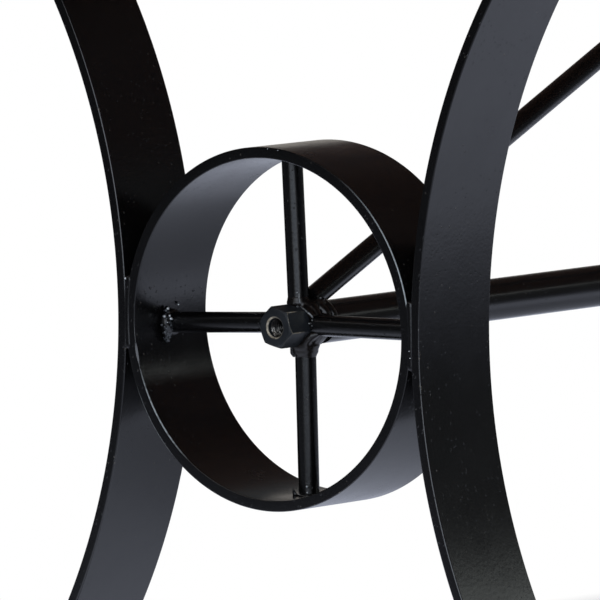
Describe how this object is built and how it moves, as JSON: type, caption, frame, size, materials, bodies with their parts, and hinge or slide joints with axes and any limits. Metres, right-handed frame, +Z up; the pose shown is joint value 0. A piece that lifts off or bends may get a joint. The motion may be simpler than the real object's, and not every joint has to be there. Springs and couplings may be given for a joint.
{
  "type": "wagon wheel coffee table",
  "caption": "Low rustic table: plank top with breadboard ends on a welded black flat-bar base, each end a small four-spoked wheel between two back-to-back arcs, joined by a stretcher.",
  "frame": {"origin": "on the floor under the middle of the top", "axes": "+Z up, +Y along the table from the front end to the rear end, +X across it"},
  "size_m": [0.66, 1.22, 0.457],
  "materials": {
    "black_iron": "satin black paint over rolled flat bar, faint orange peel and specks",
    "hub_iron": "satin black paint, worn to brown steel along the edges and in the thread",
    "weld_bead": "gloss black paint over lumpy weld",
    "black_screw": "black oxide",
    "zinc_steel": "zinc plated",
    "plank_wood": "hand-rubbed oil, satin",
    "peg_wood": "end grain, satin",
    "glide_nylon": "moulded nylon, matte"
  },
  "bodies": {
    "base_and_top": {"front_wheel_rim": "black_iron", "front_left_arc": "black_iron", "front_right_arc": "black_iron", "front_spoke_top": "black_iron", "front_spoke_bottom": "black_iron", "front_spoke_left": "black_iron", "front_spoke_right": "black_iron", "front_top_rail": "black_iron", "front_foot_rail": "black_iron", "front_brace": "black_iron", "front_hub_nut": "hub_iron", "front_seam_welds": "weld_bead", "front_breadboard": "plank_wood", "front_pegs": "peg_wood", "rear_wheel_rim": "black_iron", "rear_left_arc": "black_iron", "rear_right_arc": "black_iron", "rear_spoke_top": "black_iron", "rear_spoke_bottom": "black_iron", "rear_spoke_left": "black_iron", "rear_spoke_right": "black_iron", "rear_top_rail": "black_iron", "rear_foot_rail": "black_iron", "rear_brace": "black_iron", "rear_hub_nut": "hub_iron", "rear_seam_welds": "weld_bead", "rear_breadboard": "plank_wood", "rear_pegs": "peg_wood", "stretcher_tube": "black_iron", "brace_plate": "black_iron", "plank_1": "plank_wood", "plank_2": "plank_wood", "plank_3": "plank_wood", "plank_4": "plank_wood", "plank_5": "plank_wood", "top_rail_screws": "black_screw", "top_rail_washers": "black_screw", "brace_plate_screws": "black_screw", "brace_plate_washers": "black_screw", "foot_weld_nuts": "black_iron"},
    "front_left_pad": {"front_left_foot_pad": "glide_nylon"},
    "front_left_stem": {"front_left_foot_stem": "zinc_steel"},
    "front_right_pad": {"front_right_foot_pad": "glide_nylon"},
    "front_right_stem": {"front_right_foot_stem": "zinc_steel"},
    "rear_left_pad": {"rear_left_foot_pad": "glide_nylon"},
    "rear_left_stem": {"rear_left_foot_stem": "zinc_steel"},
    "rear_right_pad": {"rear_right_foot_pad": "glide_nylon"},
    "rear_right_stem": {"rear_right_foot_stem": "zinc_steel"}
  },
  "joints": [
    {"name": "front_left_foot_slide", "type": "slide", "parent": "base_and_top", "child": "front_left_pad", "axis": [0, 0, -1], "range_m": [0, 0.01]},
    {"name": "front_left_foot_spin", "type": "hinge", "parent": "front_left_pad", "child": "front_left_stem", "pos_m": [-0.2151, -0.446, 0.01], "axis": [0, 0, -1], "range_deg": [0, 2880]},
    {"name": "front_right_foot_slide", "type": "slide", "parent": "base_and_top", "child": "front_right_pad", "axis": [0, 0, -1], "range_m": [0, 0.01]},
    {"name": "front_right_foot_spin", "type": "hinge", "parent": "front_right_pad", "child": "front_right_stem", "pos_m": [0.2151, -0.446, 0.01], "axis": [0, 0, -1], "range_deg": [0, 2880]},
    {"name": "rear_left_foot_slide", "type": "slide", "parent": "base_and_top", "child": "rear_left_pad", "axis": [0, 0, -1], "range_m": [0, 0.01]},
    {"name": "rear_left_foot_spin", "type": "hinge", "parent": "rear_left_pad", "child": "rear_left_stem", "pos_m": [-0.2151, 0.446, 0.01], "axis": [0, 0, -1], "range_deg": [0, 2880]},
    {"name": "rear_right_foot_slide", "type": "slide", "parent": "base_and_top", "child": "rear_right_pad", "axis": [0, 0, -1], "range_m": [0, 0.01]},
    {"name": "rear_right_foot_spin", "type": "hinge", "parent": "rear_right_pad", "child": "rear_right_stem", "pos_m": [0.2151, 0.446, 0.01], "axis": [0, 0, -1], "range_deg": [0, 2880]}
  ],
  "couplings": [
    {"joint": "front_left_foot_spin", "follows": "front_left_foot_slide", "rad_per_m": 5026.5},
    {"joint": "front_right_foot_spin", "follows": "front_right_foot_slide", "rad_per_m": 5026.5},
    {"joint": "rear_left_foot_spin", "follows": "rear_left_foot_slide", "rad_per_m": 5026.5},
    {"joint": "rear_right_foot_spin", "follows": "rear_right_foot_slide", "rad_per_m": 5026.5}
  ]
}
